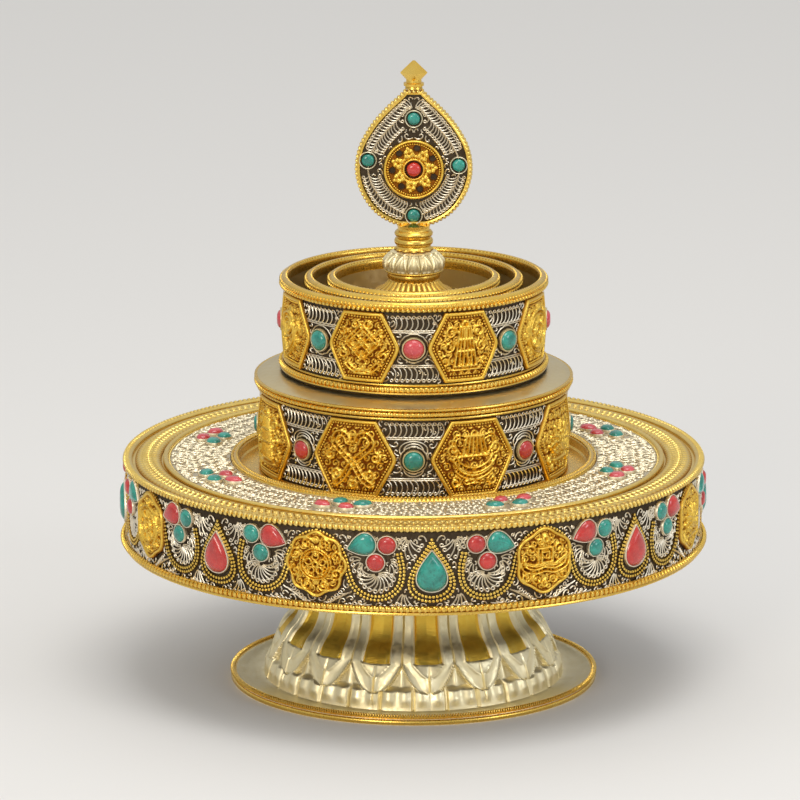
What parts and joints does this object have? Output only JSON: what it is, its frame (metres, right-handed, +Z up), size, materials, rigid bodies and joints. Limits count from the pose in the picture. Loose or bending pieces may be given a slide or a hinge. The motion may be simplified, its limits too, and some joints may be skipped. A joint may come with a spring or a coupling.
{
  "type": "mandala offering set",
  "caption": "Tiered mandala offering set: round drum on a lotus foot, upturned pan, nested rings and a disc finial, each lifting off.",
  "frame": {"origin": "on the floor, at the middle of the foot's underside", "axes": "+Z up along the axis of the drum, the rings and the finial; -Y is the side that the finial's medallion faces; +X to the right seen from there"},
  "size_m": [0.2804, 0.2804, 0.3],
  "materials": {
    "gilt": "gilded, worked and beaded",
    "silver": "polished silver plate, lightly satin",
    "oxidised_silver": "oxidised silver under filigree",
    "turquoise": "polished cabochon",
    "coral": "polished cabochon"
  },
  "bodies": {
    "stand": {"lotus_foot": "silver", "foot_beaded_wire": "gilt", "drum_shell": "oxidised_silver", "drum_lower_beaded_wire": "gilt", "drum_upper_beaded_wire": "gilt", "braided_band": "gilt", "plain_band_wire": "gilt", "filigree_annulus": "silver", "well_dish": "gilt", "drum_emblem_1": "gilt", "drum_emblem_2": "gilt", "drum_emblem_3": "gilt", "drum_emblem_4": "gilt", "drum_emblem_5": "gilt", "drum_emblem_6": "gilt", "drum_emblem_7": "gilt", "drum_emblem_8": "gilt", "drum_drop_stone_1": "turquoise", "drum_drop_stone_2": "coral", "drum_drop_stone_3": "turquoise", "drum_drop_stone_4": "coral", "drum_drop_stone_5": "turquoise", "drum_drop_stone_6": "coral", "drum_drop_stone_7": "turquoise", "drum_drop_stone_8": "coral"},
    "pan": {"pan_shell": "silver", "pan_beaded_wire": "gilt", "pan_plaque_1": "gilt", "pan_plaque_2": "gilt", "pan_plaque_3": "gilt", "pan_plaque_4": "gilt", "pan_plaque_5": "gilt", "pan_plaque_6": "gilt", "pan_plaque_7": "gilt", "pan_plaque_8": "gilt"},
    "outer_ring": {"outer_ring_wall": "oxidised_silver", "outer_ring_rim": "gilt", "outer_ring_beaded_wire": "gilt", "outer_ring_plaque_1": "gilt", "outer_ring_plaque_2": "gilt", "outer_ring_plaque_3": "gilt", "outer_ring_plaque_4": "gilt", "outer_ring_plaque_5": "gilt", "outer_ring_plaque_6": "gilt", "outer_ring_plaque_7": "gilt", "outer_ring_plaque_8": "gilt"},
    "middle_ring": {"middle_ring_wall": "silver", "middle_ring_rim": "gilt"},
    "inner_ring": {"inner_ring_wall": "silver", "inner_ring_rim": "gilt"},
    "finial": {"finial_pedestal": "silver", "finial_foot": "gilt", "finial_lotus_bulb": "silver", "finial_collar": "gilt", "medallion": "silver", "dharma_wheel": "gilt", "finial_tip": "gilt"}
  },
  "joints": [
    {"name": "pan_lift", "type": "slide", "parent": "stand", "child": "pan", "axis": [0, 0, 1], "range_m": [0, 0.06]},
    {"name": "outer_ring_lift", "type": "slide", "parent": "pan", "child": "outer_ring", "axis": [0, 0, 1], "range_m": [0, 0.155]},
    {"name": "middle_ring_lift", "type": "slide", "parent": "pan", "child": "middle_ring", "axis": [0, 0, 1], "range_m": [0, 0.155]},
    {"name": "inner_ring_lift", "type": "slide", "parent": "pan", "child": "inner_ring", "axis": [0, 0, 1], "range_m": [0, 0.155]},
    {"name": "finial_lift", "type": "slide", "parent": "pan", "child": "finial", "axis": [0, 0, 1], "range_m": [0, 0.06]}
  ]
}
